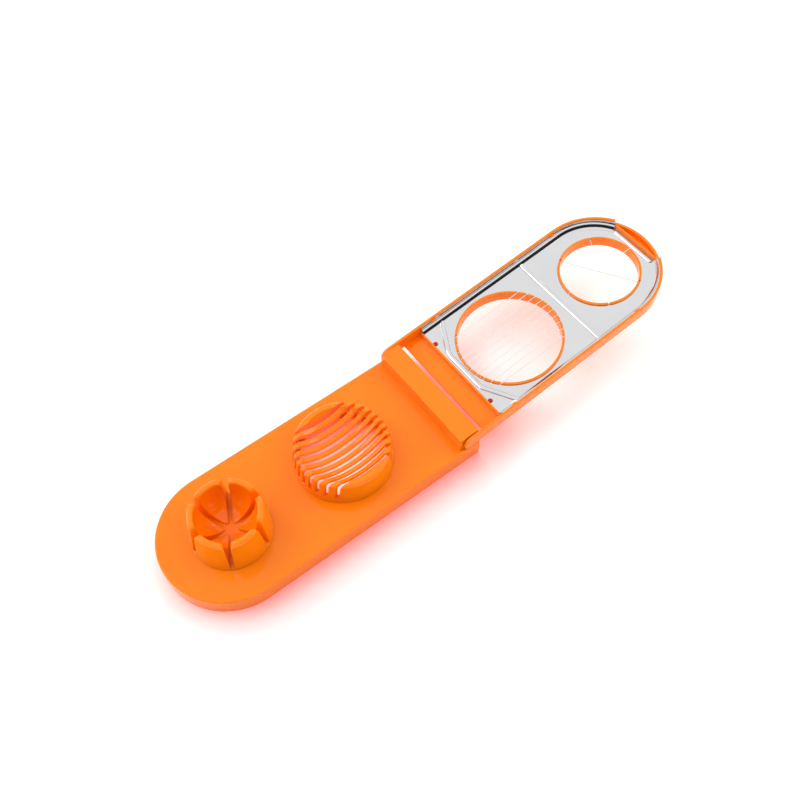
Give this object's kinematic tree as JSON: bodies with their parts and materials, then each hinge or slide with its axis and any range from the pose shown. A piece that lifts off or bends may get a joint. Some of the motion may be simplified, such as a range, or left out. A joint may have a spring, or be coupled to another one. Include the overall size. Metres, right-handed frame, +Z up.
{
  "type": "egg slicer",
  "caption": "Hinged kitchen egg slicer: a base with a slotted egg bed and a petal cup, and a cover with slicing wires and crossing wires over round holes.",
  "frame": {"origin": "on the table, straight below the hinge axis and midway across the tool, at the foot of the web under the hinge block", "axes": "+X from the hinge axis towards the tip of the open cover, +Y across the tool, +Z up from the table"},
  "size_m": [0.3532, 0.08, 0.0431],
  "materials": {
    "orange_plastic": "glossy moulded",
    "rivet_plastic": "glossy",
    "polished_steel": "mirror polished",
    "wire_steel": "drawn wire"
  },
  "bodies": {
    "base": {"base_tray": "orange_plastic", "egg_bed": "orange_plastic", "wedge_cup": "orange_plastic"},
    "cover": {"cover_frame": "orange_plastic", "metal_tray": "polished_steel", "tray_rivets": "rivet_plastic", "hinge_pins": "wire_steel", "slice_wire_1": "wire_steel", "slice_wire_2": "wire_steel", "slice_wire_3": "wire_steel", "slice_wire_4": "wire_steel", "slice_wire_5": "wire_steel", "slice_wire_6": "wire_steel", "slice_wire_7": "wire_steel", "slice_wire_8": "wire_steel", "slice_wire_9": "wire_steel", "slice_wire_10": "wire_steel", "wedge_wire_1": "wire_steel", "wedge_wire_2": "wire_steel", "wedge_wire_3": "wire_steel"}
  },
  "joints": [
    {"name": "cover_hinge", "type": "hinge", "parent": "base", "child": "cover", "pos_m": [0, 0, 0.018], "axis": [0, -1, 0], "range_deg": [0, 173.1]}
  ]
}
